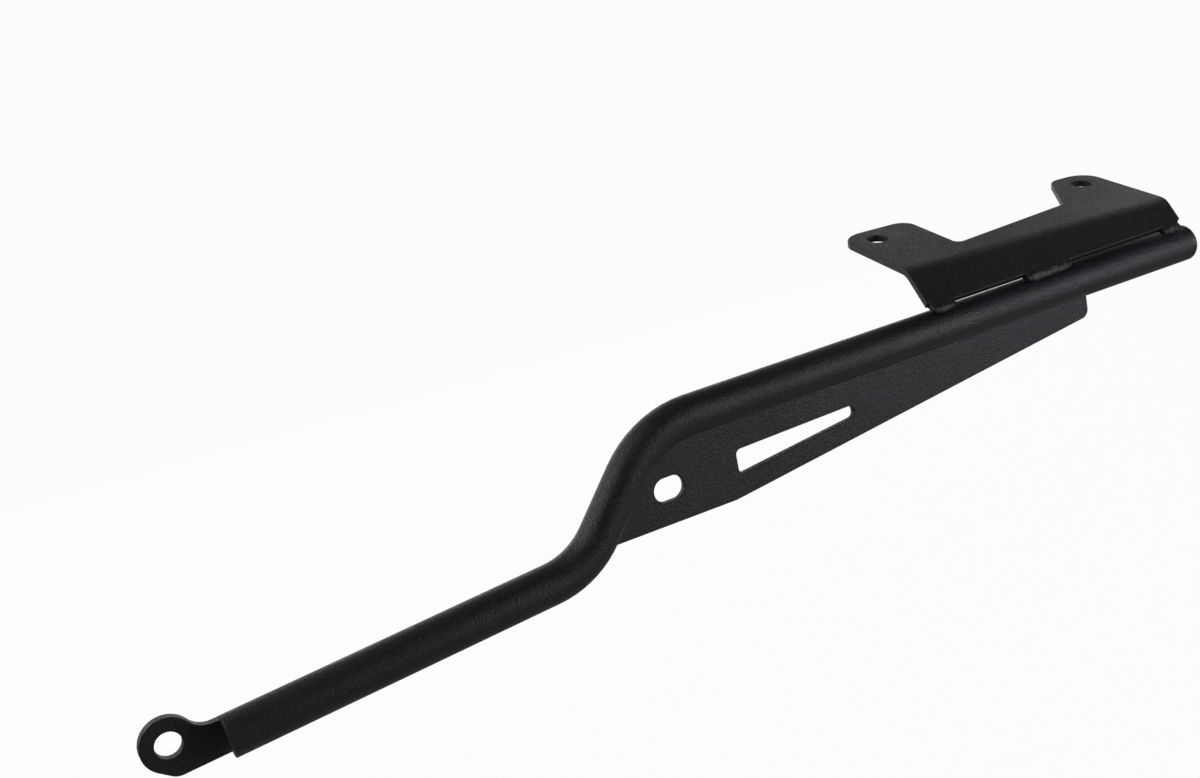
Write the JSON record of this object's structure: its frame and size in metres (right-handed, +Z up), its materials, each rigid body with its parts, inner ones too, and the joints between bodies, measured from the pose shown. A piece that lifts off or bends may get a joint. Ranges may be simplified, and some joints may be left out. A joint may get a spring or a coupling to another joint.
{
  "type": "top case support arm",
  "caption": "Bent tube arm for one side of a motorcycle top case, with a front eye tab, a gusset plate welded under the bend and a folded bracket whose slotted ears carry the case.",
  "frame": {"origin": "middle of the bore of the front eye, halfway through its tab", "axes": "+X to the rear along the upper run of the tube, +Y along the eye's bore towards the middle of the bike, +Z up"},
  "size_m": [0.4902, 0.0742, 0.0994],
  "materials": {
    "powder_coat": "matte black fine-textured powder coat",
    "weld_coat": "weld bead under the same black coat",
    "plug_plastic": "matte black moulded plug"
  },
  "bodies": {
    "root": {"main_tube": "powder_coat", "front_end_cap": "powder_coat", "rear_end_plug": "plug_plastic", "frame_eye_tab": "powder_coat", "gusset_plate": "powder_coat", "case_bracket": "powder_coat", "tab_weld": "weld_coat", "bracket_weld_front": "weld_coat", "bracket_weld_middle": "weld_coat", "bracket_weld_rear": "weld_coat", "gusset_weld_front": "weld_coat", "gusset_weld_middle": "weld_coat", "gusset_weld_rear": "weld_coat"}
  },
  "joints": []
}
